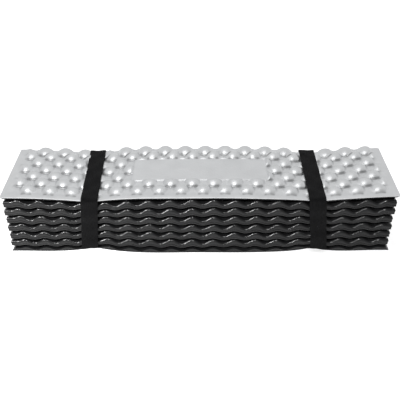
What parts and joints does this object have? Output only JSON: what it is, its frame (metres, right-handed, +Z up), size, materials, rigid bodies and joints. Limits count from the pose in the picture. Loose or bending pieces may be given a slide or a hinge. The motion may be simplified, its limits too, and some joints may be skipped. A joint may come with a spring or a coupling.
{
  "type": "folding foam sleeping pad",
  "caption": "Accordion-folded egg-crate foam sleeping pad with a metallised film face, held shut by elastic strap loops; it opens into a long flat mat.",
  "frame": {"origin": "on the floor, under the middle of the folded stack", "axes": "+X runs along the folds, +Y to the back, towards which the mat opens, and +Z up through the stack"},
  "size_m": [0.56, 0.1402, 0.1055],
  "materials": {
    "foam": "matte",
    "metallised_film": "satin",
    "elastic_webbing": "matte"
  },
  "bodies": {
    "panel_01": {"foam_panel_01": "foam", "film_panel_01": "metallised_film", "fold_crease_01": "foam"},
    "panel_02": {"foam_panel_02": "foam", "film_panel_02": "metallised_film", "fold_crease_02": "foam"},
    "panel_03": {"foam_panel_03": "foam", "film_panel_03": "metallised_film", "fold_crease_03": "foam"},
    "panel_04": {"foam_panel_04": "foam", "film_panel_04": "metallised_film", "fold_crease_04": "foam"},
    "panel_05": {"foam_panel_05": "foam", "film_panel_05": "metallised_film", "fold_crease_05": "foam"},
    "panel_06": {"foam_panel_06": "foam", "film_panel_06": "metallised_film", "fold_crease_06": "foam"},
    "panel_07": {"foam_panel_07": "foam", "film_panel_07": "metallised_film", "fold_crease_07": "foam"},
    "panel_08": {"foam_panel_08": "foam", "film_panel_08": "metallised_film", "fold_crease_08": "foam"},
    "panel_09": {"foam_panel_09": "foam", "film_panel_09": "metallised_film", "fold_crease_09": "foam"},
    "panel_10": {"foam_panel_10": "foam", "film_panel_10": "metallised_film", "fold_crease_10": "foam"},
    "panel_11": {"foam_panel_11": "foam", "film_panel_11": "metallised_film", "fold_crease_11": "foam"},
    "panel_12": {"foam_panel_12": "foam", "film_panel_12": "metallised_film", "fold_crease_12": "foam"},
    "panel_13": {"foam_panel_13": "foam", "film_panel_13": "metallised_film", "fold_crease_13": "foam"},
    "panel_14": {"foam_panel_14": "foam", "film_panel_14": "metallised_film"},
    "strap_left": {"strap_left_band": "elastic_webbing", "strap_left_lap": "elastic_webbing"},
    "strap_right": {"strap_right_band": "elastic_webbing", "strap_right_lap": "elastic_webbing"}
  },
  "joints": [
    {"name": "fold_01", "type": "hinge", "parent": "panel_01", "child": "panel_02", "pos_m": [0, 0.065, 0.00705], "axis": [-1, 0, 0], "range_deg": [0, 179.9], "deforming": ["fold_crease_01"]},
    {"name": "fold_02", "type": "hinge", "parent": "panel_02", "child": "panel_03", "pos_m": [0, -0.065, 0.01425], "axis": [1, 0, 0], "range_deg": [0, 179.9], "deforming": ["fold_crease_02"]},
    {"name": "fold_03", "type": "hinge", "parent": "panel_03", "child": "panel_04", "pos_m": [0, 0.065, 0.02145], "axis": [-1, 0, 0], "range_deg": [0, 179.9], "deforming": ["fold_crease_03"]},
    {"name": "fold_04", "type": "hinge", "parent": "panel_04", "child": "panel_05", "pos_m": [0, -0.065, 0.02865], "axis": [1, 0, 0], "range_deg": [0, 179.9], "deforming": ["fold_crease_04"]},
    {"name": "fold_05", "type": "hinge", "parent": "panel_05", "child": "panel_06", "pos_m": [0, 0.065, 0.03585], "axis": [-1, 0, 0], "range_deg": [0, 179.9], "deforming": ["fold_crease_05"]},
    {"name": "fold_06", "type": "hinge", "parent": "panel_06", "child": "panel_07", "pos_m": [0, -0.065, 0.04305], "axis": [1, 0, 0], "range_deg": [0, 179.9], "deforming": ["fold_crease_06"]},
    {"name": "fold_07", "type": "hinge", "parent": "panel_07", "child": "panel_08", "pos_m": [0, 0.065, 0.05025], "axis": [-1, 0, 0], "range_deg": [0, 179.9], "deforming": ["fold_crease_07"]},
    {"name": "fold_08", "type": "hinge", "parent": "panel_08", "child": "panel_09", "pos_m": [0, -0.065, 0.05745], "axis": [1, 0, 0], "range_deg": [0, 179.9], "deforming": ["fold_crease_08"]},
    {"name": "fold_09", "type": "hinge", "parent": "panel_09", "child": "panel_10", "pos_m": [0, 0.065, 0.06465], "axis": [-1, 0, 0], "range_deg": [0, 179.9], "deforming": ["fold_crease_09"]},
    {"name": "fold_10", "type": "hinge", "parent": "panel_10", "child": "panel_11", "pos_m": [0, -0.065, 0.07185], "axis": [1, 0, 0], "range_deg": [0, 179.9], "deforming": ["fold_crease_10"]},
    {"name": "fold_11", "type": "hinge", "parent": "panel_11", "child": "panel_12", "pos_m": [0, 0.065, 0.07905], "axis": [-1, 0, 0], "range_deg": [0, 179.9], "deforming": ["fold_crease_11"]},
    {"name": "fold_12", "type": "hinge", "parent": "panel_12", "child": "panel_13", "pos_m": [0, -0.065, 0.08625], "axis": [1, 0, 0], "range_deg": [0, 179.9], "deforming": ["fold_crease_12"]},
    {"name": "fold_13", "type": "hinge", "parent": "panel_13", "child": "panel_14", "pos_m": [0, 0.065, 0.09345], "axis": [-1, 0, 0], "range_deg": [0, 179.9], "deforming": ["fold_crease_13"]},
    {"name": "strap_left_slide", "type": "slide", "parent": "panel_01", "child": "strap_left", "axis": [-1, 0, 0], "range_m": [0, 0.16], "deforming": ["strap_left_band", "strap_left_lap"]},
    {"name": "strap_right_slide", "type": "slide", "parent": "panel_01", "child": "strap_right", "axis": [1, 0, 0], "range_m": [0, 0.16], "deforming": ["strap_right_band", "strap_right_lap"]}
  ],
  "couplings": [
    {"joint": "fold_02", "follows": "fold_01", "ratio": 1},
    {"joint": "fold_03", "follows": "fold_01", "ratio": 1},
    {"joint": "fold_04", "follows": "fold_01", "ratio": 1},
    {"joint": "fold_05", "follows": "fold_01", "ratio": 1},
    {"joint": "fold_06", "follows": "fold_01", "ratio": 1},
    {"joint": "fold_07", "follows": "fold_01", "ratio": 1},
    {"joint": "fold_08", "follows": "fold_01", "ratio": 1},
    {"joint": "fold_09", "follows": "fold_01", "ratio": 1},
    {"joint": "fold_10", "follows": "fold_01", "ratio": 1},
    {"joint": "fold_11", "follows": "fold_01", "ratio": 1},
    {"joint": "fold_12", "follows": "fold_01", "ratio": 1},
    {"joint": "fold_13", "follows": "fold_01", "ratio": 1},
    {"joint": "strap_left_slide", "follows": "fold_01", "m_per_rad": 0.0509},
    {"joint": "strap_right_slide", "follows": "fold_01", "m_per_rad": 0.0509}
  ]
}
